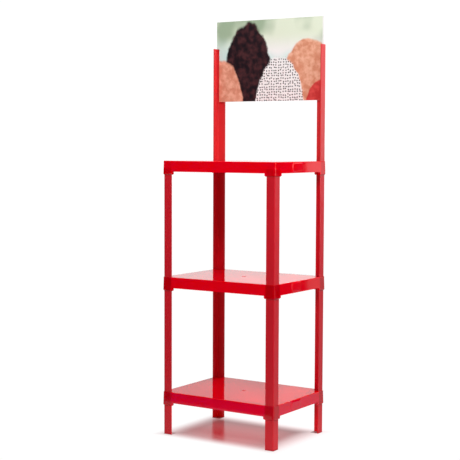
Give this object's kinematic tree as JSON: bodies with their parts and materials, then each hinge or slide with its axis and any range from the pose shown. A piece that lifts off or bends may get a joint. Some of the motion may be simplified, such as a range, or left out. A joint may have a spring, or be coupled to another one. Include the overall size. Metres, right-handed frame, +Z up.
{
  "type": "plastic display stand",
  "caption": "Tiered free-standing display stand: glossy moulded plastic trays on angle posts, with a printed header card hung on the taller back posts.",
  "frame": {"origin": "on the floor, under the middle of the stand", "axes": "+X along the front to the right, +Y to the back, +Z up"},
  "size_m": [0.4246, 0.3174, 1.3515],
  "materials": {
    "shelf_plastic": "gloss",
    "post_plastic": "satin",
    "header_board": "printed, coated"
  },
  "bodies": {
    "root": {"shelf_bottom": "shelf_plastic", "shelf_middle": "shelf_plastic", "shelf_top": "shelf_plastic", "foot_back_right": "post_plastic", "foot_back_left": "post_plastic", "foot_front_right": "post_plastic", "foot_front_left": "post_plastic", "post_lower_back_right": "post_plastic", "post_lower_back_left": "post_plastic", "post_lower_front_right": "post_plastic", "post_lower_front_left": "post_plastic", "post_upper_back_right": "post_plastic", "post_upper_back_left": "post_plastic", "post_upper_front_right": "post_plastic", "post_upper_front_left": "post_plastic", "header_post_left": "post_plastic", "header_post_right": "post_plastic", "header_card": "header_board"}
  },
  "joints": []
}
